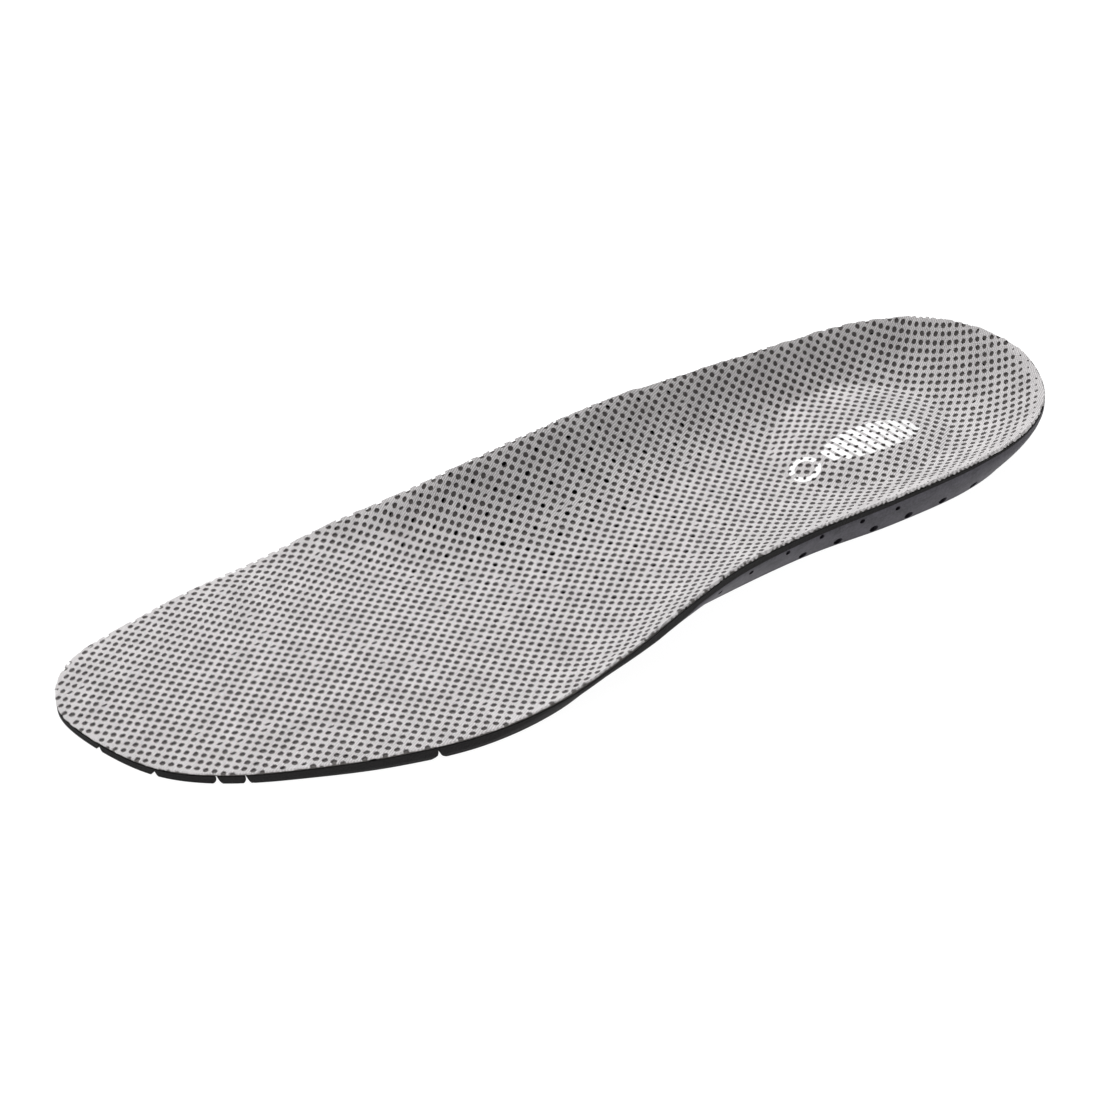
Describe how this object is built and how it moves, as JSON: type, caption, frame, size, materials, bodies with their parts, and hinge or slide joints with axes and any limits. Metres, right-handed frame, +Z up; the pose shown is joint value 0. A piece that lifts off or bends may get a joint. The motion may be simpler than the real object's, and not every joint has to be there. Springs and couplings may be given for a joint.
{
  "type": "cushioned insole",
  "caption": "Contoured shoe insole for a left foot: knitted mesh cover over black foam, moulded heel cup and arch shell, raised heel pad, and deep flex grooves under the forefoot.",
  "frame": {"origin": "middle of the footprint, on the surface that the insole lies on", "axes": "+X towards the toes, +Y towards the outer (small-toe) side of a left foot, +Z up"},
  "size_m": [0.2796, 0.0958, 0.0249],
  "materials": {
    "mesh_cover": "knitted polyester mesh, light warm grey, round holes on a diamond grid",
    "lining_knit": "fine dark grey knit",
    "transfer_print": "thin white heat-transfer film",
    "black_foam": "open-cell polyurethane foam, matt black, cut edge",
    "moulded_shell": "moulded polyurethane skin, charcoal, satin, finely grained",
    "soft_pad": "soft polyurethane gel foam, mid grey"
  },
  "bodies": {
    "rearfoot": {"top_cover": "mesh_cover", "cover_lining": "lining_knit", "heel_print": "transfer_print", "rear_foam": "black_foam", "heel_arch_shell": "moulded_shell", "heel_cushion": "soft_pad"},
    "forefoot": {"ball_foam": "black_foam", "toe_bar_foam": "black_foam", "toe_foam_outer": "black_foam", "toe_foam_middle": "black_foam", "toe_foam_inner": "black_foam"}
  },
  "joints": [
    {"name": "ball_flex", "type": "hinge", "parent": "rearfoot", "child": "forefoot", "pos_m": [0.064, 0, 0.0046], "axis": [0, -1, 0], "range_deg": [0, 45], "stiffness_Nm_per_rad": 0.12, "deforming": ["top_cover", "cover_lining"]}
  ]
}
